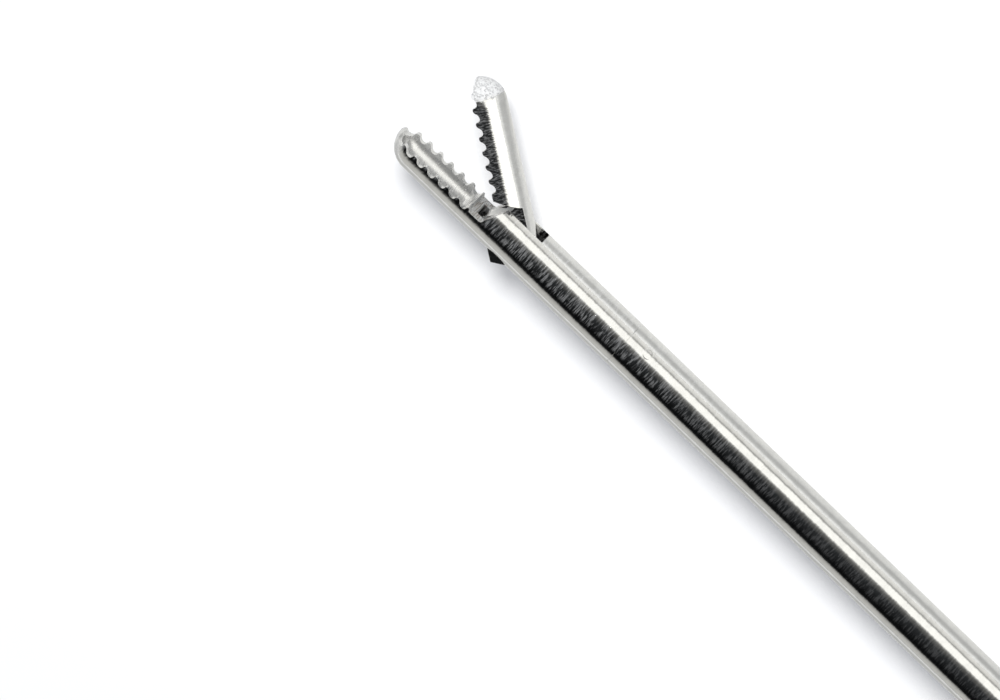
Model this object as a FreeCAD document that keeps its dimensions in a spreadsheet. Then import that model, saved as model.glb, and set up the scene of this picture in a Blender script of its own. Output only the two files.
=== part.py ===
import FreeCAD, Part
import math
import os

import Sketcher

os.makedirs("parts", exist_ok=True)
doc = FreeCAD.newDocument("Grasper")

# Sizes in millimetres and degrees.
# Working frame of every sub-part: X runs along the shaft to the tip, Y is the side the jaw opens to,
# and the jaw hinge sits above the origin. The finished instrument is then laid on its side.
SIZES = {
    # shaft
    "TubeDia": 3.4,
    "TubeBore": 2.5,
    "TubeTailDia": 3.0,
    "SeamBack": 9.8,
    "SpigotLen": 6.0,
    "SolderGap": 0.02,
    "SeamEase": 0.02,
    # jaws
    "LowerReach": 10.05,
    "UpperReach": 10.32,
    "JawWall": 0.4,
    "ToothPitch": 0.95,
    "ToothDepth": 0.34,
    "ToothDip": 0.62,
    "CrownFlat": 0.03,
    "CrownRun": 0.2,
    "CrownDrop": 0.1,
    "KnobRound": 0.12,
    "GapCount": 7,
    "LowerNib": 10.0,
    "LowerTip": 0.05,
    "UpperNib": 9.5,
    "UpperTip": -0.05,
    "NoseRim": 0.1,
    "ShoulderFoot": 2.12,
    "ShoulderTop": 1.34,
    "PlateauDrop": 0.15,
    "PlateauFront": 3.2,
    "TroughBack": 3.6,
    "TroughRound": 0.5,
    "TroughStep": 0.04,
    "RootRound": 0.25,
    # hinge slot in the fixed tip
    "SlotWidth": 1.7,
    "SlotFront": 2.76,
    "SlotBack": 1.55,
    "ReliefBack": 2.35,
    "ReliefTop": 0.15,
    "SlotRound": 0.2,
    # jaw hinge and crank
    "HingeRise": 0.85,
    "HingeDia": 0.9,
    "Crank": 1.3,
    "JawOpen": 36.0,
    "LinkDia": 0.54,
    "PinRun": 0.03,
    # tang of the moving jaw
    "TangRun": 0.04,
    "TangFront": 1.34,
    "TangTopBack": 0.65,
    "TangWaist": 1.35,
    "WaistRise": 0.3,
    "TailTop": 0.6,
    "TailFoot": 1.64,
    "TailLean": 20.0,
    "TailRound": 0.28,
    "HeelFoot": 2.45,
    "HeelTop": 1.42,
    "SlitWidth": 0.52,
    "SlitTop": 0.22,
    "SlitFoot": 1.05,
    "SlitFront": 0.32,
    "SlitTail": 1.2,
    # drive rod
    "RodDia": 1.6,
    "RodRun": 0.1,
    "RodFront": 1.9,
    "BladeThick": 0.42,
    "BladeEye": 0.52,
    "NeckTop": 0.1,
    "NeckFoot": 0.76,
    "WeldLen": 3.0,
    "RodInBall": 1.05,
    "BoreMeet": 0.5,
    "SleeveLen": 8.0,
    "SleeveRun": 0.03,
    "SleeveFront": 36.0,
    "SleeveBack": 92.0,
    # handle
    "HandFront": 122.0,
    "HeadLen": 25.0,
    "HandTop": 4.6,
    "HandFoot": 11.0,
    "HandThick": 8.0,
    "RestBack": 6.0,
    "FerruleLen": 12.0,
    "FerruleDia": 8.0,
    "ThreadDia": 5.4,
    "ThreadLen": 6.0,
    "FluteCount": 18,
    "FluteDia": 0.9,
    "FluteBack": 1.4,
    "FluteLen": 5.2,
    "FluteRise": 0.27,
    "CollarEase": 0.4,
    "CollarCone": 3.0,
    "SealLen": 1.5,
    "SealDia": 4.0,
    "FitRun": 0.03,
    "ForkIn": 12.0,
    "BladeWide": 3.0,
    "SideRun": 0.04,
    "LeverIn": 18.0,
    "LeverArm": 4.6,
    "LeverDia": 2.6,
    "LeverHeadDia": 5.0,
    "LeverHeadLen": 1.0,
    "HeadSink": 0.1,
    "StemSink": 0.3,
    "DriverWide": 0.7,
    "DriverDeep": 0.5,
    "SpannerLand": 0.3,
    "WasherDia": 6.0,
    "WasherThick": 0.3,
    "GlandLen": 2.0,
    "BallDia": 3.0,
    "BallRun": 0.04,
    "PlateReach": 3.5,
    "PlateTop": 2.25,
    "PlateFoot": 16.0,
    "RingThick": 4.2,
    "FingerAhead": 4.0,
    "FingerDrop": 76.0,
    "FingerBore": 23.0,
    "ThumbBehind": 26.0,
    "ThumbDrop": 74.0,
    "ThumbBore": 21.0,
    "RingRound": 1.7,
    "RingSink": 1.05,
    "ShankThick": 5.2,
    "ShankWide": 7.0,
    "ShankRoot": 9.0,
    "ShankInset": 2.0,
    "LeverInset": 1.0,
    "LeverGap": 3.0,
    "ThumbLean": 2.8,
    "ShankRound": 1.8,
    "ShankBow": 160.0,
    "ShankWaist": 95.0,
    "HeadCorner": 3.0,
    "HeadLug": 6.0,
    "EdgeRound": 0.8,
    "LockDia": 2.0,
    "LockBack": 3.0,
    "LockSink": 0.3,
}

sheet = doc.addObject("Spreadsheet::Sheet", "Sizes")
for row, (alias, number) in enumerate(SIZES.items(), start=1):
    sheet.set(f"A{row}", alias)
    sheet.set(f"B{row}", str(number))
    sheet.setAlias(f"B{row}", alias)
doc.recompute()


class Size:
    """A number from the sheet together with the expression that yields it."""

    def __init__(self, value, text):
        self.value = value
        self.text = text

    def joined(self, other, sign, value):
        return Size(value, f"({self.text} {sign} {as_size(other).text})")

    def __add__(self, other):
        return self.joined(other, "+", self.value + as_size(other).value)

    def __sub__(self, other):
        return self.joined(other, "-", self.value - as_size(other).value)

    def __mul__(self, other):
        return self.joined(other, "*", self.value * as_size(other).value)

    def __truediv__(self, other):
        return self.joined(other, "/", self.value / as_size(other).value)

    def __neg__(self):
        return Size(-self.value, f"(0 - {self.text})")


def as_size(thing):
    if isinstance(thing, Size):
        return thing
    return Size(float(thing), repr(float(thing)))


def size(alias):
    return Size(float(sheet.get(alias)), f"Sizes.{alias}")


def trig(kind, angle):
    """Sine, cosine or tangent of a size in degrees."""
    return Size(getattr(math, kind)(math.radians(angle.value)), f"{kind}({angle.text} * 1 deg)")


def bind(obj, prop, amount):
    amount = as_size(amount)
    start = amount.value
    setattr(obj, prop, int(start) if prop == "Occurrences" else start)
    obj.setExpression(prop, amount.text)


# Drawing and feature helpers
def origin_item(body, role):
    return next(item for item in body.Origin.OriginFeatures if item.Role == role)


def new_sketch(body, name, role="XY_Plane", offset=None, shift=None):
    """Sketch on an origin plane, moved off it by the offset and along it by the shift."""
    sketch = body.newObject("Sketcher::SketchObject", name)
    sketch.AttachmentSupport = [(origin_item(body, role), "")]
    sketch.MapMode = "FlatFace"
    moves = {"x": shift, "z": offset}
    start = [moves[way].value if moves.get(way) else 0 for way in "xyz"]
    sketch.AttachmentOffset = FreeCAD.Placement(FreeCAD.Vector(*start), FreeCAD.Rotation())
    for way, move in moves.items():
        if move:
            sketch.setExpression(f"AttachmentOffset.Base.{way}", move.text)
    return sketch


def pin_down(sketch, kind, spots, amount):
    index = sketch.addConstraint(Sketcher.Constraint(kind, *spots, amount.value))
    sketch.setExpression(f"Constraints[{index}]", amount.text)


def place_point(sketch, edge, end, x, y):
    """Bind one sketch point to its distances from the sketch origin."""
    pin_down(sketch, "DistanceX", (-1, 1, edge, end), as_size(x))
    pin_down(sketch, "DistanceY", (-1, 1, edge, end), as_size(y))


def arc_between(start, end, radius, turn):
    """Arc from start to end; turn is 1 to the left and -1 to the right."""
    half = (end - start) * 0.5
    across = FreeCAD.Vector(-half.y, half.x, 0).normalize()
    lift = math.sqrt(max(radius ** 2 - half.Length ** 2, 0.0))
    centre = start + half + across * (lift * turn)
    first, last = (start, end) if turn > 0 else (end, start)
    angles = [math.atan2(spot.y - centre.y, spot.x - centre.x) for spot in (first, last)]
    if angles[1] <= angles[0]:
        angles[1] += 2 * math.pi
    return Part.ArcOfCircle(Part.Circle(centre, FreeCAD.Vector(0, 0, 1), radius), *angles)


def draw_loop(sketch, corners):
    """Closed outline; a corner is (x, y), or (x, y, radius, turn) when an arc leads to it."""
    corners = [tuple(as_size(part) for part in corner) for corner in corners]
    spots = [FreeCAD.Vector(corner[0].value, corner[1].value, 0) for corner in corners]
    base = sketch.GeometryCount
    ends = []
    for step, corner in enumerate(corners):
        start, end = spots[step - 1], spots[step]
        if len(corner) == 2:
            edge = sketch.addGeometry(Part.LineSegment(start, end), False)
            ends.append((edge, 1, 2))
            continue
        turn = round(corner[3].value)
        edge = sketch.addGeometry(arc_between(start, end, corner[2].value, turn), False)
        ends.append((edge, 1, 2) if turn > 0 else (edge, 2, 1))
        pin_down(sketch, "Radius", (edge,), corner[2])
    for step, (edge, first, last) in enumerate(ends):
        before, _, before_last = ends[step - 1]
        sketch.addConstraint(Sketcher.Constraint("Coincident", before, before_last, edge, first))
        place_point(sketch, edge, last, corners[step][0], corners[step][1])
    return base


def draw_circle(sketch, x, y, dia):
    x, y, dia = as_size(x), as_size(y), as_size(dia)
    circle = Part.Circle(FreeCAD.Vector(x.value, y.value, 0), FreeCAD.Vector(0, 0, 1), dia.value / 2)
    edge = sketch.addGeometry(circle, False)
    place_point(sketch, edge, 3, x, y)
    pin_down(sketch, "Diameter", (edge,), dia)


def loop_sketch(body, name, corners, role="XY_Plane", offset=None):
    sketch = new_sketch(body, name, role, offset)
    draw_loop(sketch, corners)
    return sketch


def circle_sketch(body, name, circles, role="XY_Plane", offset=None):
    sketch = new_sketch(body, name, role, offset)
    for x, y, dia in circles:
        draw_circle(sketch, x, y, dia)
    return sketch


def feature(body, kind, name, sketch):
    made = body.newObject(f"PartDesign::{kind}", name)
    made.Profile = sketch
    sketch.Visibility = False
    return made


def pad(body, name, sketch, length, both=True):
    made = feature(body, "Pad", name, sketch)
    bind(made, "Length", length)
    made.SideType = "Symmetric" if both else "One side"
    return made


def pocket(body, name, sketch, length=None, both=True, reverse=False):
    """Cut the outline away, right through the body when no length is given."""
    made = feature(body, "Pocket", name, sketch)
    if length is None:
        made.Type = "ThroughAll"
    else:
        bind(made, "Length", length)
    made.SideType = "Symmetric" if both else "One side"
    made.Reversed = reverse
    return made


def spin(body, name, sketch, cut=False, axis="H_Axis"):
    """Turn a half profile round an axis of its sketch, as added or removed material."""
    made = feature(body, "Groove" if cut else "Revolution", name, sketch)
    made.ReferenceAxis = (sketch, [axis])
    made.Angle = 360
    return made


def turned(body, name, corners, cut=False):
    return spin(body, name, loop_sketch(body, name + "Outline", corners), cut)


def drum(body, name, back, front, dia, cut=False):
    """Plain cylinder on the shaft axis between two stations."""
    radius = dia / 2
    return turned(body, name, [(back, 0), (back, radius), (front, radius), (front, 0)], cut)


def round_edges(body, name, base, wanted, radius):
    """Fillet every edge of the base that the wanted test accepts."""
    doc.recompute()
    names = [f"Edge{n}" for n, edge in enumerate(base.Shape.Edges, start=1) if wanted(edge)]
    made = body.newObject("PartDesign::Fillet", name)
    made.Base = (base, names)
    bind(made, "Radius", radius)
    return made


def new_body(label):
    body = doc.addObject("PartDesign::Body", label)
    body.Label = label
    body.Placement = LAID
    BODIES.append(body)
    return body


BODIES = []

tube_dia = size("TubeDia")
tube_radius = tube_dia / 2
trough_radius = tube_radius - size("JawWall")
hinge_rise = size("HingeRise")
rod_dia = size("RodDia")
rod_bore = rod_dia + size("RodRun") * 2

# The finished instrument lies on its side, with the origin on the rest plane, below the shaft's axis
# and within the handle's head.
shaft_out = size("HandFront") - size("FerruleLen")
thread_back = -(size("HandFront") + size("ThreadLen"))
lever_x = -(size("HandFront") + size("LeverIn"))
LAID = FreeCAD.Placement(
    FreeCAD.Vector((size("HandFront") + size("RestBack")).value, 0, (size("HandThick") / 2).value),
    FreeCAD.Rotation(FreeCAD.Vector(1, 0, 0), 180),
)


# Jaws
def round_bar(body, name, nose, back, back_radius, step):
    """Bar with a ball nose, stepped down behind the seam when a step is given."""
    corners = [(back, 0), (back, back_radius)]
    if step is not None:
        ease = size("SeamEase")
        corners += [(step, back_radius), (step, tube_radius - ease), (step + ease, tube_radius)]
    corners += [(nose - tube_radius, tube_radius), (nose, 0, tube_radius, -1)]
    return turned(body, name, corners)


def hollow_trough(body, back, nose):
    """Half-round hollow of the jaw, rounded at its back and following the nose in front."""
    corner = size("TroughRound")
    turned(body, "Trough", [
        (back, 0),
        (back, trough_radius - corner),
        (back + corner, trough_radius, corner, -1),
        (nose - tube_radius, trough_radius),
        (nose - size("JawWall"), 0, trough_radius, -1),
    ], cut=True)


def crown_radius(run, drop):
    """Radius of the arc that leaves level ground and falls by drop over the run."""
    return (run * run + drop * drop) / (drop * 2)


def cut_teeth(body, nib, tip, side):
    """One bowl between two round crowns, repeated along the jaw; side is 1 below the tips, -1 above.

    Each tooth slopes gently towards the hinge and stands steep, with a round knob, towards the nose.
    """
    pitch = size("ToothPitch")
    flat = size("CrownFlat") / 2
    run, drop, knob = size("CrownRun"), size("CrownDrop"), size("KnobRound")
    dip = pitch * size("ToothDip")
    fall = size("ToothDepth") - drop
    rise = size("ToothDepth") - knob
    clear = tip + size("ToothDepth") * side
    front, back = nib - flat, nib - pitch + flat
    sketch = loop_sketch(body, "ToothGapOutline", [
        (front, clear),
        (front, tip),
        (front - run, tip - drop * side, crown_radius(run, drop), side),
        (nib - dip, tip - size("ToothDepth") * side, crown_radius(dip - flat - run, fall), -side),
        (back + knob, tip - knob * side, crown_radius(pitch - dip - flat - knob, rise), -side),
        (back, tip, knob, side),
        (back, clear),
    ])
    gap = pocket(body, "ToothGap", sketch)
    row = body.newObject("PartDesign::LinearPattern", "ToothRow")
    row.Originals = [gap]
    row.Direction = (origin_item(body, "X_Axis"), [""])
    row.Reversed = True
    bind(row, "Length", pitch * (size("GapCount") - 1))
    bind(row, "Occurrences", size("GapCount"))
    body.Tip = row


def make_fixed_jaw():
    body = new_body("fixed_jaw")
    spigot_back = -(size("SeamBack") + size("SpigotLen"))
    spigot_radius = size("TubeBore") / 2 - size("SolderGap")
    nose = size("LowerReach")
    round_bar(body, "Bar", nose, spigot_back, spigot_radius, -size("SeamBack"))
    drum(body, "RodBore", spigot_back, size("BoreMeet") - size("SlotBack"), rod_bore, cut=True)
    plateau = -size("PlateauDrop")
    above = tube_dia
    front = nose + tube_radius
    lower_tip = size("LowerTip")
    root = size("RootRound")
    mouth = loop_sketch(body, "MouthOutline", [
        (size("ShoulderTop"), above),
        (size("ShoulderTop"), tube_radius),
        (size("ShoulderFoot"), plateau + root),
        (size("ShoulderFoot") + root, plateau, root, 1),
        (size("PlateauFront"), plateau),
        (size("PlateauFront") + root / 2, lower_tip),
        (front, lower_tip),
        (front, above),
    ])
    pocket(body, "Mouth", mouth)
    hollow_trough(body, size("TroughBack"), nose)
    corner = size("SlotRound")
    slot = loop_sketch(body, "SlotOutline", [
        (-size("SlotBack"), above),
        (-size("SlotBack"), size("ReliefTop")),
        (-(size("ReliefBack") - corner), size("ReliefTop")),
        (-size("ReliefBack"), size("ReliefTop") - corner, corner, 1),
        (-size("ReliefBack"), -above),
        (size("SlotFront"), -above),
        (size("SlotFront"), above),
    ])
    pocket(body, "Slot", slot, size("SlotWidth"))
    pocket(body, "HingeHole", circle_sketch(body, "HingeHoleOutline", [(0, hinge_rise, size("HingeDia"))]))
    cut_teeth(body, size("LowerNib"), lower_tip, 1)


def link_spot():
    """Crank pin centre with the jaw shut: behind the hinge by half the swing."""
    half_swing = size("JawOpen") / 2
    arm = size("Crank")
    return arm * trig("sin", half_swing), hinge_rise - arm * trig("cos", half_swing)


def swing_open(body):
    """Turn a sub-part drawn with the jaw shut about the hinge pin to the resting, open pose."""
    hinge = FreeCAD.Vector(0, hinge_rise.value, 0)
    turn = FreeCAD.Rotation(FreeCAD.Vector(0, 0, 1), size("JawOpen").value)
    body.Placement = LAID.multiply(FreeCAD.Placement(FreeCAD.Vector(), turn, hinge))


def make_moving_jaw():
    body = new_body("moving_jaw")
    tip = size("UpperTip")
    above = tube_dia
    nose = size("UpperReach")
    front = nose + tube_radius
    tail = -(size("TailFoot") + tube_dia)
    tang_front = size("TangFront")
    round_bar(body, "Bar", nose, tail, tube_radius, None)
    nib = size("UpperNib") + size("CrownFlat") / 2
    rim = size("NoseRim")
    mouth = loop_sketch(body, "MouthOutline", [
        (tang_front, -above),
        (tang_front, tip),
        (nib, tip),
        (nib + (rim - tip), rim),
        (front, rim),
        (front, -above),
    ])
    pocket(body, "Mouth", mouth)
    foot, lean, side = size("TailFoot"), size("TailLean"), size("TailRound")
    rear = [
        (-size("TangTopBack"), above),
        (-size("TangTopBack"), tube_radius),
        (-size("TangWaist"), size("WaistRise")),
        (-(foot + (tube_radius - size("TailTop")) * trig("tan", lean)), -size("TailTop")),
        (-(foot + side * trig("sin", lean)), side * trig("cos", lean) - tube_radius),
        (side - foot, -tube_radius, side * trig("tan", lean / 2 + 45), 1),
        (side - foot, -above),
        (tail - above, -above),
        (tail - above, above),
    ]
    pocket(body, "TangRear", loop_sketch(body, "TangRearOutline", rear))
    half_tang = size("SlotWidth") / 2 - size("TangRun")
    cheek = loop_sketch(body, "CheekOutline", [
        (size("HeelFoot"), -above),
        (size("HeelFoot"), 0),
        (size("HeelTop"), tube_radius),
        (size("HeelTop"), above),
        (tail - above, above),
        (tail - above, -above),
    ], offset=half_tang)
    side = pocket(body, "Cheek", cheek, both=False, reverse=True)
    pair = body.newObject("PartDesign::Mirrored", "CheekPair")
    pair.Originals = [side]
    pair.MirrorPlane = (origin_item(body, "XY_Plane"), [""])
    body.Tip = pair
    hollow_trough(body, tang_front + size("TroughStep"), nose)
    back, rise = link_spot()
    slit = loop_sketch(body, "SlitOutline", [
        (size("SlitFront"), -size("SlitFoot")),
        (size("SlitFront"), size("SlitTop")),
        (-back, size("SlitTop")),
        (-size("TangWaist"), size("SlitTail")),
        (tail, size("SlitTail")),
        (tail, -size("SlitFoot")),
    ])
    pocket(body, "Slit", slit, size("SlitWidth"))
    holes = [
        (0, hinge_rise, size("HingeDia") + size("PinRun") * 2),
        (-back, rise, size("LinkDia")),
    ]
    pocket(body, "PinHoles", circle_sketch(body, "PinHolesOutline", holes))
    cut_teeth(body, size("UpperNib"), tip, -1)
    swing_open(body)


def make_pins():
    hinge = new_body("jaw_hinge_pin")
    pad(hinge, "Pin", circle_sketch(hinge, "PinOutline", [(0, hinge_rise, size("HingeDia"))]), tube_dia)
    half = size("HingeDia")
    turned(hinge, "FlushEnds", [
        (-half, tube_radius),
        (-half, tube_dia),
        (half, tube_dia),
        (half, tube_radius),
    ], cut=True)
    link = new_body("link_pin")
    back, rise = link_spot()
    length = size("SlotWidth") - size("TangRun") * 2
    pad(link, "Pin", circle_sketch(link, "PinOutline", [(-back, rise, size("LinkDia"))]), length)
    swing_open(link)


# Shaft and drive rod
def make_shaft():
    tube = new_body("outer_tube")
    bore = size("TubeBore") / 2
    tail = size("TubeTailDia") / 2
    ease = size("SeamEase")
    turned(tube, "Wall", [
        (thread_back, bore),
        (thread_back, tail),
        (-shaft_out, tail),
        (-shaft_out, tube_radius),
        (-(size("SeamBack") + ease), tube_radius),
        (-size("SeamBack"), tube_radius - ease),
        (-size("SeamBack"), bore),
    ])


def make_blade():
    blade = new_body("rod_blade")
    back, rise = link_spot()
    eye = size("BladeEye")
    weld = -(size("RodFront") + size("WeldLen"))
    neck_top, neck_foot = size("NeckTop"), -size("NeckFoot")
    outline = loop_sketch(blade, "BladeOutline", [
        (weld, neck_foot),
        (weld, neck_top),
        (back - eye, neck_top),
        (back, rise + eye),
        (back + eye, rise, eye, -1),
        (back, rise - eye, eye, -1),
        (back - eye, neck_foot),
    ])
    pad(blade, "Plate", outline, size("BladeThick"))
    slide = size("Crank") - (hinge_rise - rise)
    half = size("LinkDia") / 2 + size("PinRun")
    slot = loop_sketch(blade, "EyeOutline", [
        (back - half, rise),
        (back, rise + half, half, -1),
        (back + half, rise, half, -1),
        (back + half, rise - slide),
        (back, rise - slide - half, half, -1),
        (back - half, rise - slide, half, -1),
    ])
    pocket(blade, "Eye", slot)


def make_rod():
    rod = new_body("drive_rod")
    rod_back = lever_x - size("RodInBall")
    drum(rod, "Bar", rod_back, -size("RodFront"), rod_dia)
    seat = loop_sketch(rod, "BladeSeatOutline", [
        (-(size("RodFront") + size("WeldLen")), -rod_dia),
        (-(size("RodFront") + size("WeldLen")), rod_dia),
        (0, rod_dia),
        (0, -rod_dia),
    ])
    pocket(rod, "BladeSeat", seat, size("BladeThick"))
    for label, station in (("guide_sleeve_front", "SleeveFront"), ("guide_sleeve_rear", "SleeveBack")):
        sleeve = new_body(label)
        back = -(size(station) + size("SleeveLen"))
        outer = size("TubeBore") / 2 - size("SleeveRun")
        turned(sleeve, "Sleeve", [
            (back, rod_dia / 2),
            (back, outer),
            (-size(station), outer),
            (-size(station), rod_dia / 2),
        ])
    ball = new_body("rod_ball")
    radius = size("BallDia") / 2
    centre = lever_x
    turned(ball, "Ball", [(centre - radius, 0), (centre, radius, radius, -1), (centre + radius, 0, radius, -1)])
    drum(ball, "Bore", rod_back, centre + size("BallDia"), rod_dia, cut=True)


# Handle
def make_ferrule():
    ferrule = new_body("tube_ferrule")
    front = -shaft_out
    face = -size("HandFront")
    bore = size("TubeTailDia") / 2
    rim = size("FerruleDia") / 2
    screw = size("ThreadDia") / 2
    ease = size("CollarEase")
    cone = size("CollarCone")
    turned(ferrule, "Collar", [
        (thread_back, bore),
        (thread_back, screw - ease),
        (thread_back + ease, screw),
        (face, screw),
        (face, rim - ease),
        (face + ease, rim, ease, -1),
        (front - cone - ease, rim),
        (front - cone, rim - ease, ease, -1),
        (front, tube_radius + ease),
        (front, bore),
    ])
    flute = circle_sketch(ferrule, "FluteOutline", [(0, rim + size("FluteRise"), size("FluteDia"))],
                          role="YZ_Plane", offset=face + size("FluteBack"))
    cut = pocket(ferrule, "Flute", flute, size("FluteLen"), both=False, reverse=True)
    ring = ferrule.newObject("PartDesign::PolarPattern", "FluteRing")
    ring.Originals = [cut]
    ring.Axis = (origin_item(ferrule, "X_Axis"), [""])
    ring.Angle = 360
    bind(ring, "Occurrences", size("FluteCount"))
    ferrule.Tip = ring


def make_seal():
    middle = thread_back - size("SealLen")
    back = middle - size("GlandLen")
    outer = size("SealDia") / 2
    inner = rod_dia / 2 + size("SleeveRun")
    for label, near, far in (("seal_ring", thread_back, middle), ("gland_bush", middle, back)):
        ring = new_body(label)
        turned(ring, "Ring", [(far, inner), (far, outer), (near, outer), (near, inner)])


def side_hole(body, name, x, y, dia, start, depth):
    """Round recess from a side face of the handle inward."""
    sketch = circle_sketch(body, name + "Outline", [(x, y, dia)], offset=start)
    return pocket(body, name, sketch, depth, both=False)


def bowed_shank(body, front, back, ring_front, ring_back, way):
    """Shank between two spots on the head and two on the ring, bowed forward (1) or backward (-1)."""
    front_bow, back_bow = size("ShankBow"), size("ShankWaist")
    if way < 0:
        front_bow, back_bow = back_bow, front_bow
    outline = loop_sketch(body, "ShankOutline", [
        (*front, front_bow, way),
        back,
        (*ring_back, back_bow, -way),
        ring_front,
    ])
    bar = pad(body, "Shank", outline, size("ShankThick"))
    round_edges(body, "ShankRounds", bar, lambda edge: isinstance(edge.Curve, Part.Circle), size("ShankRound"))


def finger_ring(body, x, drop, bore):
    """Closed ring of rounded section, turned about its own centre."""
    inner = bore / 2
    outer = inner + size("RingThick")
    half = size("HandThick") / 2
    corner = size("RingRound")
    sketch = new_sketch(body, "RingOutline", "XZ_Plane", offset=drop, shift=x)
    draw_loop(sketch, [
        (inner, corner - half, corner, -1),
        (inner, half - corner),
        (inner + corner, half, corner, -1),
        (outer - corner, half),
        (outer, half - corner, corner, -1),
        (outer, corner - half),
        (outer - corner, -half, corner, -1),
        (inner + corner, -half),
    ])
    spin(body, "Ring", sketch, axis="V_Axis")


def make_finger_handle():
    body = new_body("finger_handle")
    front = -size("HandFront")
    back = front - size("HeadLen")
    top, foot = size("HandTop"), -size("HandFoot")
    corner, lug = size("HeadCorner"), size("HeadLug")
    wide = size("ShankWide")
    ring_x, ring_top = front + size("FingerAhead"), size("FingerBore") / 2 - size("FingerDrop")
    shank_front, shank_top = front - size("ShankInset"), foot / 2
    sink = size("RingSink")
    bowed_shank(
        body,
        (shank_front, shank_top),
        (shank_front - size("ShankRoot"), shank_top),
        (ring_x + wide / 2, ring_top + sink),
        (ring_x - wide / 2, ring_top + sink),
        1,
    )
    head = loop_sketch(body, "HeadOutline", [
        (front, top),
        (front, foot + corner),
        (front - corner, foot, corner, -1),
        (back + lug, foot),
        (back, foot + lug, lug, -1),
        (back, top - corner),
        (back + corner, top, corner, -1),
    ])
    block = pad(body, "Head", head, size("HandThick"))
    side = size("HandThick").value / 2

    def on_side(edge):
        box = edge.BoundBox
        return box.ZLength < 1e-4 and abs(abs(box.ZMin) - side) < 1e-4 and box.XMin < front.value - 1e-3

    round_edges(body, "HeadRounds", block, on_side, size("EdgeRound"))
    finger_ring(body, ring_x, size("FingerDrop"), size("FingerBore"))
    fit = size("FitRun") * 2
    seal_back = thread_back - size("SealLen") - size("GlandLen")
    drum(body, "ThreadBore", thread_back, front, size("ThreadDia") + fit, cut=True)
    drum(body, "SealBore", seal_back, front, size("SealDia") + fit, cut=True)
    drum(body, "RodBore", back, front, rod_bore, cut=True)
    fork = size("BladeWide") + (size("WasherThick") + size("SideRun")) * 2
    past = size("HandThick")
    slot = loop_sketch(body, "ForkOutline", [
        (front - size("ForkIn"), top + past),
        (front - size("ForkIn"), foot - past),
        (back - past, foot - past),
        (back - past, top + past),
    ])
    pocket(body, "Fork", slot, fork)
    hinge_x, hinge_y = lever_x, -size("LeverArm")
    shaft = [(hinge_x, hinge_y, size("LeverDia") + fit)]
    pocket(body, "HingeHole", circle_sketch(body, "HingeHoleOutline", shaft))
    seat_dia = size("LeverHeadDia") + fit
    half = size("HandThick") / 2
    side_hole(body, "ScrewSeat", hinge_x, hinge_y, seat_dia, half, size("LeverHeadLen"))
    nut = circle_sketch(body, "NutSeatOutline", [(hinge_x, hinge_y, seat_dia)], offset=-half)
    pocket(body, "NutSeat", nut, size("LeverHeadLen"), both=False, reverse=True)
    lock_x = front - size("LockBack")
    lock = circle_sketch(body, "LockHoleOutline", [(lock_x, 0, size("LockDia") + fit)], role="XZ_Plane")
    pocket(body, "LockHole", lock, both=False)


def make_thumb_lever():
    body = new_body("thumb_lever")
    x, y = lever_x, -size("LeverArm")
    reach = size("PlateReach")
    top, foot = size("PlateTop"), -size("PlateFoot")
    wide = size("ShankWide")
    ring_x, ring_top = x - size("ThumbBehind"), size("ThumbBore") / 2 - size("ThumbDrop")
    shank_front, shank_top = x + size("LeverInset"), -(size("HandFoot") + size("LeverGap"))
    shank_back = shank_front - wide
    ring_middle = ring_x + size("ThumbLean")
    sink = size("RingSink")
    bowed_shank(
        body,
        (shank_front, shank_top),
        (shank_back, shank_top),
        (ring_middle + wide / 2, ring_top + sink),
        (ring_middle - wide / 2, ring_top + sink),
        -1,
    )
    plate = loop_sketch(body, "PlateOutline", [
        (x + reach, top),
        (x + reach, y - reach),
        (shank_front, foot),
        (shank_back, foot),
        (x - reach, y - reach),
        (x - reach, top),
    ])
    pad(body, "Plate", plate, size("BladeWide"))
    finger_ring(body, ring_x, size("ThumbDrop"), size("ThumbBore"))
    hole = [(x, y, size("LeverDia") + size("FitRun") * 2)]
    pocket(body, "HingeHole", circle_sketch(body, "HingeHoleOutline", hole))
    radius = size("BallDia") / 2
    half = radius + size("BallRun")
    past = top + radius
    notch = loop_sketch(body, "BallNotchOutline", [
        (x + half, past),
        (x + half, -radius),
        (x, -radius - half, half, -1),
        (x - half, -radius, half, -1),
        (x - half, past),
    ])
    pocket(body, "BallNotch", notch)
    gate = loop_sketch(body, "RodGateOutline", [
        (x, past),
        (x, -rod_dia),
        (x + reach * 2, -rod_dia),
        (x + reach * 2, past),
    ])
    pocket(body, "RodGate", gate, rod_bore)


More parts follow.
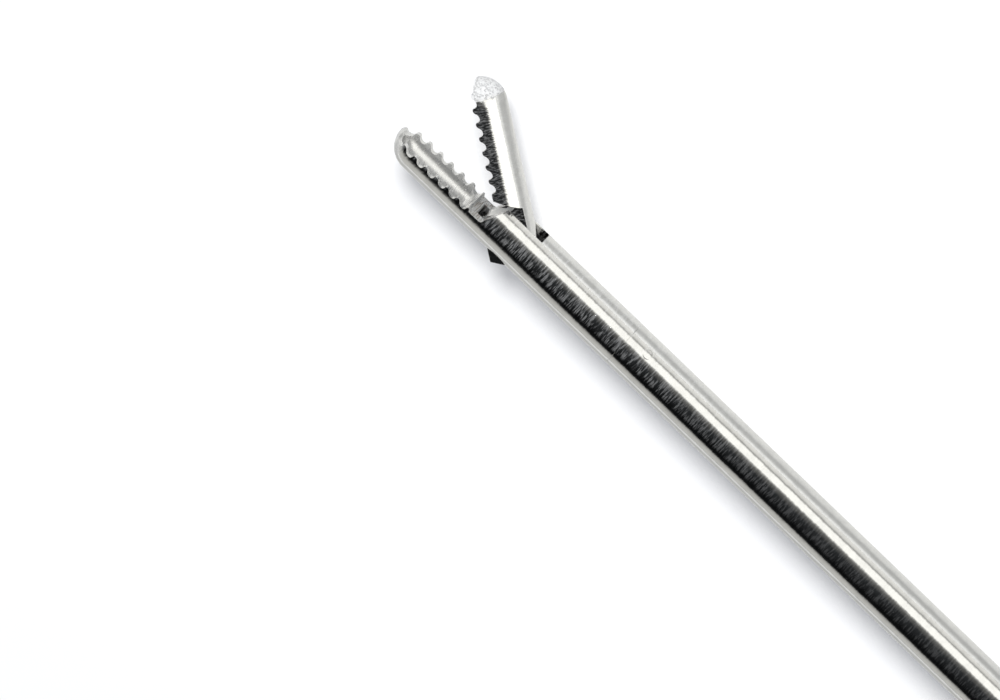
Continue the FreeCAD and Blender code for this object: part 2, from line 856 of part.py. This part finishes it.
def make_hinge():
    x, y = lever_x, -size("LeverArm")
    shaft = [(x, y, size("LeverDia"))]
    head = [(x, y, size("LeverHeadDia"))]
    half = size("HandThick") / 2
    depth = size("LeverHeadLen")
    sink = size("HeadSink")
    thick = depth - sink
    screw = new_body("hinge_screw")
    pad(screw, "Head", circle_sketch(screw, "HeadOutline", head, offset=half - depth), thick, both=False)
    stem_start = size("StemSink") - half
    stem = circle_sketch(screw, "StemOutline", shaft, offset=stem_start)
    pad(screw, "Stem", stem, half - depth - stem_start, both=False)
    slot_half, slot_end = size("DriverWide") / 2, size("LeverHeadDia")
    slot = loop_sketch(screw, "SlotOutline", [
        (x - slot_end, y - slot_half),
        (x - slot_end, y + slot_half),
        (x + slot_end, y + slot_half),
        (x + slot_end, y - slot_half),
    ], offset=half - sink - size("DriverDeep"))
    pocket(screw, "Slot", slot, both=False, reverse=True)
    nut = new_body("hinge_nut")
    pad(nut, "Disc", circle_sketch(nut, "DiscOutline", head, offset=sink - half), thick, both=False)
    bore = circle_sketch(nut, "BoreOutline", shaft)
    pocket(nut, "Bore", bore)
    bore_dia, head_dia = size("LeverDia"), size("LeverHeadDia")
    reach = (head_dia + bore_dia) / 4
    spanner_dia = (head_dia - bore_dia) / 2 - size("SpannerLand") * 2
    spanner = [(x - reach, y, spanner_dia), (x + reach, y, spanner_dia)]
    pocket(nut, "SpannerHoles", circle_sketch(nut, "SpannerOutline", spanner))
    run = size("LeverDia") + size("FitRun") * 2
    inner = size("BladeWide") / 2 + size("SideRun") / 2
    for label, start in (("hinge_washer_upper", -(inner + size("WasherThick"))), ("hinge_washer_lower", inner)):
        washer = new_body(label)
        rims = [(x, y, size("WasherDia")), (x, y, run)]
        disc = circle_sketch(washer, "DiscOutline", rims, offset=start)
        pad(washer, "Disc", disc, size("WasherThick"), both=False)


def make_lock_screw():
    body = new_body("lock_screw")
    x = -(size("HandFront") + size("LockBack"))
    start = size("ThreadDia") / 2 + size("FitRun")
    length = size("HandTop") - start - size("LockSink")
    plug = circle_sketch(body, "PlugOutline", [(x, 0, size("LockDia"))], role="XZ_Plane", offset=-start)
    pad(body, "Plug", plug, length, both=False)
    body.Tip.Reversed = True


make_fixed_jaw()
make_moving_jaw()
make_pins()
make_shaft()
make_blade()
make_rod()
make_ferrule()
make_seal()
make_finger_handle()
make_thumb_lever()
make_hinge()
make_lock_screw()
doc.recompute()

for body in BODIES:
    for item in [body, *body.Group]:
        if "Invalid" in item.State or "Error" in item.State:
            raise RuntimeError(f"{body.Label}: {item.Name} did not compute")
    if body.Shape.isNull() or not body.Shape.isValid() or len(body.Shape.Solids) != 1:
        raise RuntimeError(f"{body.Label} is not one sound solid")

for body in BODIES:
    body.Shape.exportStep(f"parts/{body.Label}.step")
    box = body.Shape.BoundBox
    print(f"{body.Label}: {body.Shape.Volume:.2f} mm3, z {box.ZMin:.2f} to {box.ZMax:.2f}")
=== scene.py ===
import math

import bpy
from mathutils import Matrix, Vector


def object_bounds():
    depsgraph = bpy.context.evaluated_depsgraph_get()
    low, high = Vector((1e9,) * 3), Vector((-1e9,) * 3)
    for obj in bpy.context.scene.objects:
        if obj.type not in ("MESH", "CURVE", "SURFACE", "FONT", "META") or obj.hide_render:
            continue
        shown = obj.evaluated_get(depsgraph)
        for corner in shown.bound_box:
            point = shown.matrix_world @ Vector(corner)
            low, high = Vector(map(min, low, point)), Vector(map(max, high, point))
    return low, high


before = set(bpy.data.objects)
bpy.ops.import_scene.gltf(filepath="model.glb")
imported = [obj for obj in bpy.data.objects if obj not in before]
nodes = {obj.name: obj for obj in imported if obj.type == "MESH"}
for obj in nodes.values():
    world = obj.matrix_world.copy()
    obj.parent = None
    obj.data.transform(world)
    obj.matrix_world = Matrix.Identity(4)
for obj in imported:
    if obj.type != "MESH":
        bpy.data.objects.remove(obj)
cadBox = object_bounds()
mm = 0.001
print("frame loaded:", len(nodes), "nodes")


# shader maths: a wrapped socket takes part in plain Python expressions

class Signal:
    def __init__(self, tree, socket):
        self.tree = tree
        self.socket = socket

    def math(self, operation, *others):
        node = self.tree.nodes.new("ShaderNodeMath")
        node.operation = operation
        plug(self.tree, node.inputs[0], self)
        for index, other in enumerate(others, start=1):
            plug(self.tree, node.inputs[index], other)
        return Signal(self.tree, node.outputs[0])

    def flipped(self, operation, other):
        node = self.tree.nodes.new("ShaderNodeMath")
        node.operation = operation
        plug(self.tree, node.inputs[0], other)
        plug(self.tree, node.inputs[1], self)
        return Signal(self.tree, node.outputs[0])

    def __add__(self, other):
        return self.math("ADD", other)

    def __sub__(self, other):
        return self.math("SUBTRACT", other)

    def __mul__(self, other):
        return self.math("MULTIPLY", other)

    def __truediv__(self, other):
        return self.math("DIVIDE", other)

    def __pow__(self, other):
        return self.math("POWER", other)

    __radd__ = __add__
    __rmul__ = __mul__

    def __rsub__(self, other):
        return self.flipped("SUBTRACT", other)


def plug(tree, target, source):  # a link for a wrapped socket, a setting for anything else
    if isinstance(source, Signal):
        tree.links.new(source.socket, target)
    else:
        target.default_value = source


class Board:  # one node tree and the ways to add to it
    def __init__(self, tree):
        self.tree = tree
        tree.nodes.clear()

    def add(self, kind, settings=None, inputs=None, output=0):
        node = self.tree.nodes.new("ShaderNode" + kind)
        for key, value in (settings or {}).items():
            if key == "stops":
                setStops(node.color_ramp, value)
            else:
                setattr(node, key, value)
        for key, value in (inputs or {}).items():
            plug(self.tree, node.inputs[key], value)
        return Signal(self.tree, node.outputs[output]) if len(node.outputs) else node

    def mixColour(self, factor, first, second):
        node = self.tree.nodes.new("ShaderNodeMix")
        node.data_type = "RGBA"
        plug(self.tree, node.inputs[0], factor)
        plug(self.tree, node.inputs[6], first)
        plug(self.tree, node.inputs[7], second)
        return Signal(self.tree, node.outputs[2])

    def mixVector(self, factor, first, second):
        node = self.tree.nodes.new("ShaderNodeMix")
        node.data_type = "VECTOR"
        plug(self.tree, node.inputs[0], factor)
        plug(self.tree, node.inputs[4], first)
        plug(self.tree, node.inputs[5], second)
        return Signal(self.tree, node.outputs[1])

    def between(self, value, low, high):  # 0 below low, 1 above high, eased
        return self.add("MapRange", {"interpolation_type": "SMOOTHSTEP"},
                        {"Value": value, "From Min": low, "From Max": high})

    def noise(self, vector, scale, detail=2.0, roughness=0.5):
        return self.add("TexNoise", None,
                        {"Vector": vector, "Scale": scale, "Detail": detail, "Roughness": roughness})


def rayKinds(board):  # seen by the camera, and seen in metal or through something clear
    path = board.tree.nodes.new("ShaderNodeLightPath")
    camera, glossy, through = (Signal(board.tree, path.outputs["Is " + kind + " Ray"])
                               for kind in ("Camera", "Glossy", "Transmission"))
    return camera, glossy + through


def setStops(ramp, stops):
    while len(ramp.elements) > 1:
        ramp.elements.remove(ramp.elements[-1])
    ramp.elements[0].position = stops[0][0]
    ramp.elements[0].color = stops[0][1]
    for position, colour in stops[1:]:
        ramp.elements.new(position).color = colour


def grey(level, tint=(1.0, 1.0, 1.0)):
    return (level * tint[0], level * tint[1], level * tint[2], 1.0)


def newMaterial(name):
    material = bpy.data.materials.new(name)
    material.use_nodes = True
    return material, Board(material.node_tree)


def finishMaterial(board, inputs):
    shader = board.add("BsdfPrincipled", None, inputs)
    board.add("OutputMaterial", None, {"Surface": shader})


def wear(material, *names):
    for name in names:
        mesh = nodes[name].data
        mesh.materials.clear()
        mesh.materials.append(material)


# steel

hingeSpot = Vector((128.0, -0.85, 4.0)) * mm


# place measured from the shaft's axis at the hinge, with the bar turned back straight
def alongBar(board, turn):
    place = board.add("TexCoord", None, None, output=3)
    swing = Matrix.Rotation(turn, 3, "Z")
    shift = Vector((0.0, hingeSpot.y, 0.0)) - swing @ hingeSpot
    return board.add("Mapping", {"vector_type": "POINT"},
                     {"Vector": place, "Rotation": (0.0, 0.0, turn), "Location": shift})


def apart(board, vector):
    node = board.tree.nodes.new("ShaderNodeSeparateXYZ")
    plug(board.tree, node.inputs[0], vector)
    return [Signal(board.tree, output) for output in node.outputs]


def steel(name, look):
    material, board = newMaterial(name)
    place = alongBar(board, look["turn"])
    x, y, z = apart(board, place)
    grain = board.add("Mapping", {"vector_type": "POINT"}, {"Vector": place, "Scale": look["grain"]})
    strokes = board.noise(grain, 1.0, 1.5, 0.6)
    out = (y * y + z * z) ** 0.5  # distance from the bar's axis
    cloud = board.noise(place, look["cloudScale"], 3.0, 0.55)
    tone = board.mixColour(board.between(cloud, *look["cloudRange"]), look["tone"], look["toneDeep"])
    forward = board.between(x, *look["strokeSpan"]) * look["strokeSwing"] + look["strokeRear"]
    fade = forward * board.between(y / out, *look["strokeSide"]) + look["strokeLeast"]
    matte = board.between(strokes + (cloud - 0.5) * look["strokeCloud"], *look["strokeRange"]) * fade
    rough = look["roughness"] + (strokes - 0.5) * look["roughnessSwing"] + (cloud - 0.5) * look["cloudSwing"]
    metal = 1.0 - look["satin"] - matte
    height = strokes + cloud * look["cloudRise"]
    if "bowl" in look:  # satin hollow of the jaw and rough cast nose
        hollow = board.between(out, *look["bowlOut"]) * board.between(x, *look["bowlFrom"])
        inside = board.between(out, *look["insideOut"])
        shelf = (board.between(x, *look["shelfFrom"]) - board.between(x, *look["shelfTo"])) * inside
        # painted shade: the inside of the hinge slot is darkened in colour, standing in for the shade in its
        # recess
        middle = board.between(z.math("ABSOLUTE"), *look["slotHalf"])
        shadedSlot = middle * board.between(x, *look["slotTo"]) * inside
        nose = board.between(x + (cloud - 0.5) * look["noseWander"], look["noseFrom"],
                             look["noseFrom"] + look["noseBlend"])
        along = board.add("Mapping", {"vector_type": "POINT"}, {"Vector": place, "Scale": look["marks"]})
        marks = board.between(board.noise(along, 1.0), *look["markRange"])
        pits = board.between(board.noise(place, look["pitScale"], 2.0), *look["pitRange"]) * nose
        tone = board.mixColour(marks * shelf, tone, look["markTone"])
        # darker specks of the cast nose, and painted shade inside the hinge slot, both towards the same dark
        # tone
        tone = board.mixColour(pits * look["pitDark"] + shadedSlot * look["slotPaintedShade"], tone, look["pitAndShadeTone"])
        rough = rough + hollow * look["bowl"] + shelf * look["shelfRough"] + nose * look["noseRough"]
        metal = metal - hollow * look["bowlMatte"] - shelf * look["shelfMatte"] - nose * look["noseMatte"]
        height = height - pits * look["pitDepth"]
    if "weldAt" in look:  # faint ring of the spot weld that holds the tube on the jaw's spigot
        awayX, awayY, awayZ = (axis - spot for axis, spot in zip((x, y, z), look["weldAt"]))
        ring = (awayX * awayX + awayY * awayY + awayZ * awayZ) ** 0.5 - look["weldRadius"]
        height = height + board.between(ring.math("ABSOLUTE"), look["weldWidth"], 0.0) * look["weldRise"]
    edge = board.add("Bevel", {"samples": 6}, {"Radius": look["edge"]})
    if "flushPin" in look:  # the ground ends of the hinge pin stay in one surface with the jaw
        still = board.add("NewGeometry", None, None, output=1)
        away = (x * x + (y - hingeSpot.y) ** 2.0) ** 0.5
        edge = board.mixVector(board.between(away, *look["flushPin"]), edge, still)
    bump = board.add("Bump", None, {
        "Strength": look["bumpStrength"], "Distance": look["bumpDepth"], "Height": height, "Normal": edge})
    finishMaterial(board, {"Base Color": tone, "Metallic": metal, "Roughness": rough, "Normal": bump})
    return material


# each pair of lengths says where a zone starts to blend in and where it is full
tubeLook = {
    "tone": grey(0.76, (1.0, 1.0, 0.99)), "toneDeep": grey(0.7, (1.0, 1.0, 0.99)), "satin": 0.0,
    "roughness": 0.08, "roughnessSwing": 0.06, "cloudSwing": 0.03, "cloudScale": 1700.0,
    "cloudRange": (0.35, 0.7), "cloudRise": 0.6, "turn": 0.0,
    # brush strokes across the bar: fine along it, long around it, weaker to the rear and on the rings' side
    "grain": (11500.0, 1500.0, 1500.0), "strokeRange": (0.44, 0.66), "strokeCloud": 0.2,
    "strokeSide": (0.16, -0.02), "strokeSpan": (-28.0 * mm, -6.0 * mm),
    "strokeSwing": 0.13, "strokeRear": 0.035, "strokeLeast": 0.003,
    "bumpStrength": 1.0, "bumpDepth": 0.012 * mm, "edge": 0.03 * mm,
}
shaftLook = dict(
    tubeLook, weldAt=(-11.4 * mm, -1.177 * mm, 1.227 * mm), weldRadius=0.32 * mm, weldWidth=0.06 * mm,
    weldRise=0.5)
bothJaws = dict(
    tubeLook,
    bowl=0.2, bowlMatte=0.12, bowlOut=(1.6 * mm, 1.5 * mm), bowlFrom=(3.3 * mm, 3.6 * mm),
    insideOut=(1.66 * mm, 1.6 * mm), shelfFrom=(1.3 * mm, 1.6 * mm), shelfTo=(3.2 * mm, 3.35 * mm),
    slotHalf=(0.88 * mm, 0.85 * mm), slotTo=(2.9 * mm, 2.8 * mm),
    marks=(9000.0, 700.0, 700.0), markRange=(0.5, 0.6), markTone=(0.36, 0.31, 0.27, 1.0),
    noseWander=0.6 * mm, noseBlend=0.12 * mm, pitScale=7000.0, pitRange=(0.5, 0.66), pitAndShadeTone=grey(0.12))
# the fixed jaw's slot weight darkens the inside of the hinge slot: painted shade
fixedJawLook = dict(
    bothJaws, flushPin=(0.75 * mm, 0.6 * mm), shelfRough=0.2, shelfMatte=0.25, slotPaintedShade=0.8,
    noseFrom=9.9 * mm, noseRough=0.22, noseMatte=0.25, pitDepth=1.0, pitDark=0.2)
movingJawLook = dict(
    bothJaws, turn=math.radians(36.0), grain=(17000.0, 2900.0, 2900.0), strokeSwing=0.1, bumpDepth=0.008 * mm,
    shelfRough=0.0, shelfMatte=0.0, slotPaintedShade=0.0,
    noseFrom=9.05 * mm, noseRough=0.4, noseMatte=0.62, pitDepth=6.0, pitDark=0.22)
handleLook = dict(
    tubeLook, tone=grey(0.66), toneDeep=grey(0.58), satin=0.35, roughness=0.36, roughnessSwing=0.1,
    grain=(2600.0, 2600.0, 900.0), cloudScale=160.0, edge=0.15 * mm, bumpDepth=0.008 * mm,
    strokeSwing=0.0, strokeRear=0.0, strokeLeast=0.0)
screwLook = dict(handleLook, tone=grey(0.7), toneDeep=grey(0.62), satin=0.1, roughness=0.14, edge=0.08 * mm)
plasticLook = {
    "tone": grey(0.8), "toneDeep": grey(0.7), "roughness": 0.45, "roughnessSwing": 0.1,
    "cloudScale": 700.0, "grainScale": 6000.0, "bumpDepth": 0.01 * mm,
}
rubberLook = dict(plasticLook, tone=grey(0.02), toneDeep=grey(0.035), roughness=0.6)


def softStuff(name, look):  # moulded plastic and rubber
    material, board = newMaterial(name)
    place = board.add("TexCoord", None, None, output=3)
    cloud = board.noise(place, look["cloudScale"], 3.0)
    tone = board.mixColour(cloud, look["tone"], look["toneDeep"])
    bump = board.add("Bump", None, {
        "Strength": 0.2, "Distance": look["bumpDepth"], "Height": board.noise(place, look["grainScale"])})
    rough = look["roughness"] + (cloud - 0.5) * look["roughnessSwing"]
    finishMaterial(board, {"Base Color": tone, "Roughness": rough, "Normal": bump})
    return material


wear(steel("tubeSteel", shaftLook), "outer_tube")
wear(steel("rodSteel", tubeLook), "drive_rod", "rod_blade", "rod_ball")
wear(steel("fixedJawSteel", fixedJawLook), "fixed_jaw", "jaw_hinge_pin")
wear(steel("movingJawSteel", movingJawLook), "moving_jaw", "link_pin")
wear(steel("handleSteel", handleLook), "finger_handle", "thumb_lever", "tube_ferrule")
wear(steel("screwSteel", screwLook), "hinge_screw", "hinge_nut", "lock_screw")
wear(softStuff("slidePlastic", plasticLook), "guide_sleeve_front", "guide_sleeve_rear", "gland_bush",
     "hinge_washer_upper", "hinge_washer_lower")
wear(softStuff("sealRubber", rubberLook), "seal_ring")
print("finishes on")


# studio

warm = (1.01, 1.0, 0.95)
cool = (0.93, 1.0, 1.05)
studio = {
    "floorTone": grey(0.6), "floorCameraGlow": grey(0.29),
    # tone of the floor in the steel's mirror image, by distance from the shaft in mm: a painted reflection,
    # with a darker strip from 8.5 to 14 mm as painted shade
    "floorReach": 3.0, "mirrorSpan": 60.0,
    "paintedMirrorTones": [(0, 0.66), (5, 0.66), (8.5, 0.43), (14, 0.45), (20, 0.56), (36, 0.78), (60, 0.74)],
    "ambient": grey(0.3, (0.9, 0.96, 1.1)),
    "keyLean": 33.0, "keyTipward": 0.26, "keyFar": 0.6, "keySize": 0.19, "keyPower": 4.6,
    # brightness seen in the steel by angle: 0 is overhead, positive leans the way the jaw opens
    "bands": [
        (-180, 0.62, warm), (-106, 0.68, warm), (-89, 0.66, warm), (-74, 0.6, warm), (-63, 0.46, warm),
        (-57, 0.1, warm), (-54, 0.006, cool), (-40, 0.004, cool), (-30, 0.008, cool), (-19, 0.014, cool),
        (-8, 0.02, cool), (8, 0.03, cool), (18, 0.09, warm), (26, 0.15, warm), (32, 0.4, warm),
        (37, 1.32, warm), (62, 1.3, warm), (66, 0.6, warm), (70, 0.4, warm), (74, 0.76, warm),
        (80, 0.9, warm), (90, 1.0, warm), (180, 0.9, warm)],
    # the same towards the handle's end, where the white panel is wider
    "rearBands": [
        (-180, 0.62, warm), (-89, 0.62, warm), (-64, 0.4, warm), (-56, 0.004, cool), (-30, 0.006, cool),
        (16, 0.02, cool), (25, 0.1, warm), (30, 1.6, warm), (103, 1.6, warm), (118, 0.85, warm),
        (180, 0.9, warm)],
    "rearFrom": (0.24, 0.42),
}


def layFloor():
    low = cadBox[0][2]
    reach = studio["floorReach"]
    mesh = bpy.data.meshes.new("studioFloor")
    corners = [(-reach, -reach, low), (reach, -reach, low), (reach, reach, low), (-reach, reach, low)]
    mesh.from_pydata(corners, [], [(0, 1, 2, 3)])
    floor = bpy.data.objects.new("studioFloor", mesh)
    bpy.context.scene.collection.objects.link(floor)
    material, board = newMaterial("floorPaper")
    camera, mirrored = rayKinds(board)
    aside = apart(board, board.add("NewGeometry", None, None))[1]
    away = aside.math("ABSOLUTE") / (studio["mirrorSpan"] * mm)
    stops = [(far / studio["mirrorSpan"], grey(level, warm)) for far, level in studio["paintedMirrorTones"]]
    # painted reflection: this floor tone is seen only in the steel, and its darker strip stands in for shade
    # on the floor
    paintedMirror = board.add("ValToRGB", {"stops": stops}, {"Fac": away})
    tone = board.mixColour(mirrored, studio["floorTone"], paintedMirror)
    paper = board.add("BsdfDiffuse", None, {"Color": tone})
    lift = board.mixColour(camera, grey(0.0), studio["floorCameraGlow"])  # pale only to the camera's eye
    glow = board.add("Emission", None, {"Color": lift, "Strength": 1.0})
    both = board.add("AddShader", None, {0: paper, 1: glow})
    board.add("OutputMaterial", None, {"Surface": both})
    mesh.materials.append(material)


def lightWorld():
    world = bpy.data.worlds.new("studioWorld")
    world.use_nodes = True
    bpy.context.scene.world = world
    board = Board(world.node_tree)
    camera, mirrored = rayKinds(board)
    way = board.add("TexCoord", None, None)
    tipward, ringward, upward = apart(board, way)
    lean = (ringward * -1.0).math("ARCTAN2", upward) / (2.0 * math.pi) + 0.5
    rings = []
    for key in ("bands", "rearBands"):
        stops = [(angle / 360.0 + 0.5, grey(level, tint)) for angle, level, tint in studio[key]]
        rings.append(board.add("ValToRGB", {"stops": stops}, {"Fac": lean}))
    bands = board.mixColour(board.between(tipward * -1.0, *studio["rearFrom"]), *rings)
    seen = board.mixColour(mirrored, studio["ambient"], bands)
    colour = board.mixColour(camera, seen, grey(1.0))
    sky = board.add("Background", None, {"Color": colour, "Strength": 1.0})
    board.add("OutputWorld", None, {"Surface": sky})


def hangKey(target):
    lean = math.radians(studio["keyLean"])
    toward = Vector((studio["keyTipward"], -math.sin(lean), math.cos(lean))).normalized()
    lamp = bpy.data.lights.new("keyLamp", "AREA")
    lamp.shape = "DISK"
    lamp.size = studio["keySize"]
    lamp.energy = studio["keyPower"]
    key = bpy.data.objects.new("keyLamp", lamp)
    key.location = target + toward * studio["keyFar"]
    key.rotation_euler = toward.to_track_quat("Z", "Y").to_euler()
    key.visible_glossy = False
    bpy.context.scene.collection.objects.link(key)


# camera

photo = {
    "pixelsPerMm": 15.56, "roll": 43.85, "rise": 25.2,
    "hingeAt": (514.0, 237.3), "frame": (1000.0, 700.0), "far": 500 * mm, "sensor": 36.0,
    "hinge": (128 * mm, 0.0, 4 * mm),
}


def setCamera():
    roll = math.radians(photo["roll"])
    rise = math.radians(photo["rise"])
    back = Vector((0.0, -math.sin(rise), math.cos(rise)))  # from the object to the camera
    tipward = Vector((1.0, 0.0, 0.0))
    jawward = Vector((0.0, -math.cos(rise), -math.sin(rise)))
    right = -tipward * math.cos(roll) + jawward * math.sin(roll)
    up = tipward * math.sin(roll) + jawward * math.cos(roll)
    perMetre = photo["pixelsPerMm"] / mm
    offX = (photo["frame"][0] / 2 - photo["hingeAt"][0]) / perMetre
    offY = (photo["hingeAt"][1] - photo["frame"][1] / 2) / perMetre
    target = Vector(photo["hinge"]) + right * offX + up * offY
    lens = bpy.data.cameras.new("photoCamera")
    lens.sensor_width = photo["sensor"]
    lens.lens = photo["sensor"] * photo["far"] * perMetre / photo["frame"][0]
    lens.clip_start = 0.01
    lens.clip_end = 20.0
    camera = bpy.data.objects.new("photoCamera", lens)
    turn = Matrix((right, up, back)).transposed().to_4x4()
    camera.matrix_world = Matrix.Translation(target + back * photo["far"]) @ turn
    bpy.context.scene.collection.objects.link(camera)
    bpy.context.scene.camera = camera
    return target


layFloor()
lightWorld()
hangKey(setCamera())
bpy.context.scene.view_settings.view_transform = "Standard"
print("studio set")
